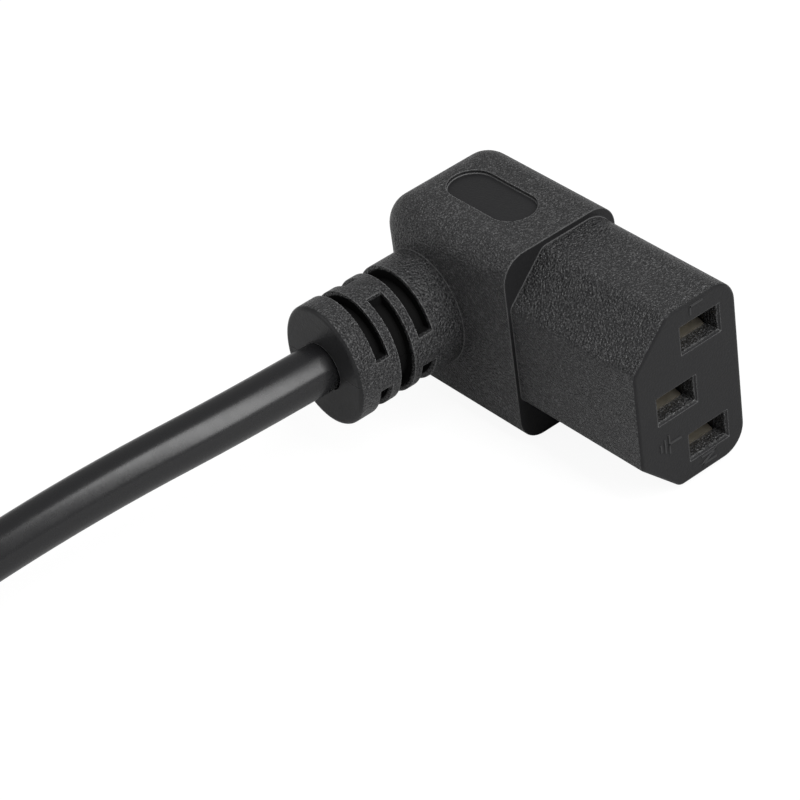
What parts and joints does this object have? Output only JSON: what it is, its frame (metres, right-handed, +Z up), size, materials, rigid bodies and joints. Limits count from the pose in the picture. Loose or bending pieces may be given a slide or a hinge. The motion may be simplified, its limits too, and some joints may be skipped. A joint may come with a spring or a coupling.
{
  "type": "power cord",
  "caption": "Right-angle moulded socket with a slotted strain relief on a round cable, which is coiled in a strap and ends in an inline plug.",
  "frame": {"origin": "on the ground under the middle of the right-angle socket, its strain relief included", "axes": "+X out of the socket's face, the way an inlet stands off it; -Y the way the cord leaves; +Z up, with the earth slot on the cord's side of the other two"},
  "size_m": [0.0539, 0.2367, 0.0381],
  "materials": {
    "moulding": "satin black moulding with a fine grain",
    "insert": "smooth black insert",
    "contact_metal": "bare stamped sheet",
    "plated_pin": "bright nickel plating",
    "jacket": "smooth satin black jacket",
    "strap": "satin black strap",
    "brown_insulation": "satin brown",
    "blue_insulation": "satin blue",
    "green_yellow_insulation": "satin green with yellow",
    "copper_strands": "bare copper"
  },
  "bodies": {
    "root": {"connector_body": "moulding", "contact_carrier": "insert", "cable_run": "jacket", "cable_coil": "jacket", "coil_tie": "strap", "cable_tail": "jacket", "plug_body": "moulding", "pin_carrier": "insert", "line_contact": "contact_metal", "line_pin": "plated_pin", "line_insulation": "brown_insulation", "line_strands": "copper_strands", "plug_line_insulation": "brown_insulation", "plug_line_strands": "copper_strands", "neutral_contact": "contact_metal", "neutral_pin": "plated_pin", "neutral_insulation": "blue_insulation", "neutral_strands": "copper_strands", "plug_neutral_insulation": "blue_insulation", "plug_neutral_strands": "copper_strands", "earth_contact": "contact_metal", "earth_pin": "plated_pin", "earth_insulation": "green_yellow_insulation", "earth_strands": "copper_strands", "plug_earth_insulation": "green_yellow_insulation", "plug_earth_strands": "copper_strands"}
  },
  "joints": []
}
